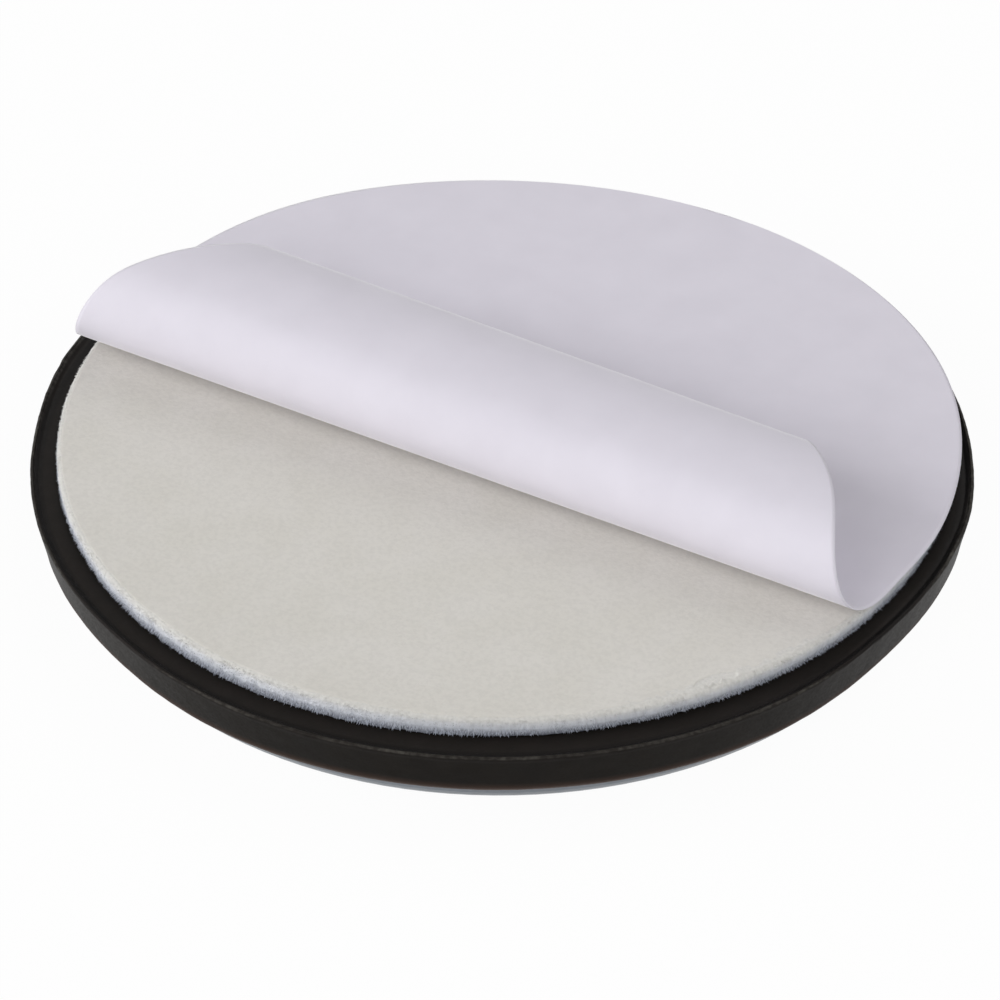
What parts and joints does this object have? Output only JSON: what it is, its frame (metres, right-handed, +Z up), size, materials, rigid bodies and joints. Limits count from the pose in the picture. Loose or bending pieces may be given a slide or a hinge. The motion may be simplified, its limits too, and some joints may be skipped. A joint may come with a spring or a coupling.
{
  "type": "furniture slider",
  "caption": "Round self-adhesive furniture slider: slick plate in a black rubber cushion, foam pad and a paper release liner half peeled and rolled back.",
  "frame": {"origin": "middle of the gliding face, on the floor", "axes": "+Z up towards the adhesive face and the furniture leg, +Y towards the side where the liner is still stuck, X along the rolled liner"},
  "size_m": [0.089, 0.089, 0.0214],
  "materials": {
    "plate": "satin",
    "rubber": "matte",
    "foam": "matte",
    "adhesive": "satin",
    "paper": "satin"
  },
  "bodies": {
    "slider": {"glide_plate": "plate", "rubber_cushion": "rubber", "lower_adhesive": "adhesive", "foam_pad": "foam", "upper_adhesive": "adhesive"},
    "liner_end": {"liner_end_strip": "paper"},
    "liner": {"liner_flat": "paper", "liner_roll": "paper"}
  },
  "joints": [
    {"name": "liner_release", "type": "slide", "parent": "slider", "child": "liner_end", "axis": [0, 0, 1], "range_m": [0, 0.06]},
    {"name": "liner_peel", "type": "hinge", "parent": "liner_end", "child": "liner", "pos_m": [-0.0002, 0.03349, 0.01002], "axis": [-1, 0, 0], "range_deg": [0, 135]}
  ]
}
